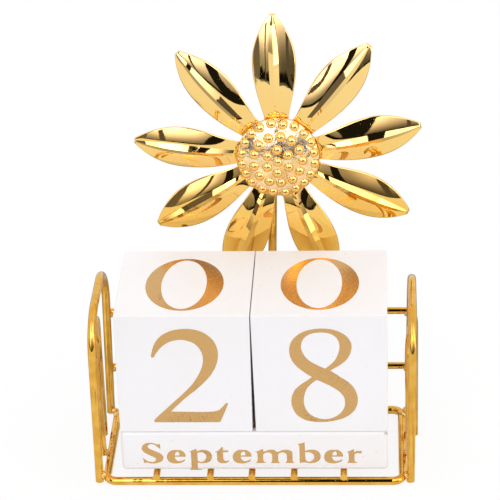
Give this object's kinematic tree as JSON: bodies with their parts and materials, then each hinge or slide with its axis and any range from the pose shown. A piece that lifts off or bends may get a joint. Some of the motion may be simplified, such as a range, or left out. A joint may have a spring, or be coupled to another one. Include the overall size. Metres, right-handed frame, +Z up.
{
  "type": "perpetual desk calendar",
  "caption": "Perpetual desk calendar: number cubes over month bars, held in a soldered wire stand with a pressed metal flower on a stem behind.",
  "frame": {"origin": "on the desk plane, in the middle of the base ring, midway between its side bars and between its front and back bars", "axes": "+X to the right as seen by the reader, +Y to the back, +Z up"},
  "size_m": [0.126, 0.0721, 0.1626],
  "materials": {
    "gold_wire": "polished plating",
    "pressed_gold": "polished plating",
    "gold_solder": "plated, rough",
    "painted_block": "white satin paint",
    "gold_foil": "hot foil, satin"
  },
  "bodies": {
    "stand": {"base_ring": "gold_wire", "cross_rod_1": "gold_wire", "cross_rod_2": "gold_wire", "cross_rod_3": "gold_wire", "cross_rod_4": "gold_wire", "cross_rod_5": "gold_wire", "left_outer_arch": "gold_wire", "right_outer_arch": "gold_wire", "left_inner_arch": "gold_wire", "right_inner_arch": "gold_wire", "lower_back_rail": "gold_wire", "upper_back_rail": "gold_wire", "flower_stem": "gold_wire", "petal_plate": "pressed_gold", "seed_dome": "pressed_gold", "rod_welds": "gold_solder", "arch_welds": "gold_solder", "rail_welds": "gold_solder", "stem_welds": "gold_solder"},
    "tens_cube": {"tens_cube": "painted_block"},
    "units_cube": {"units_cube": "painted_block"},
    "front_month_bar": {"front_month_bar": "painted_block"},
    "middle_month_bar": {"middle_month_bar": "painted_block"},
    "back_month_bar": {"back_month_bar": "painted_block"}
  },
  "joints": [
    {"name": "tens_cube_lift", "type": "slide", "parent": "stand", "child": "tens_cube", "axis": [0, 0, 1], "range_m": [0, 0.055]},
    {"name": "units_cube_lift", "type": "slide", "parent": "stand", "child": "units_cube", "axis": [0, 0, 1], "range_m": [0, 0.055]},
    {"name": "back_bar_slide", "type": "slide", "parent": "stand", "child": "back_month_bar", "axis": [0, -1, 0], "range_m": [0, 0.056]},
    {"name": "middle_bar_slide", "type": "slide", "parent": "back_month_bar", "child": "middle_month_bar", "axis": [0, -1, 0], "range_m": [0, 0.04]},
    {"name": "front_bar_slide", "type": "slide", "parent": "middle_month_bar", "child": "front_month_bar", "axis": [0, -1, 0], "range_m": [0, 0.024]}
  ]
}
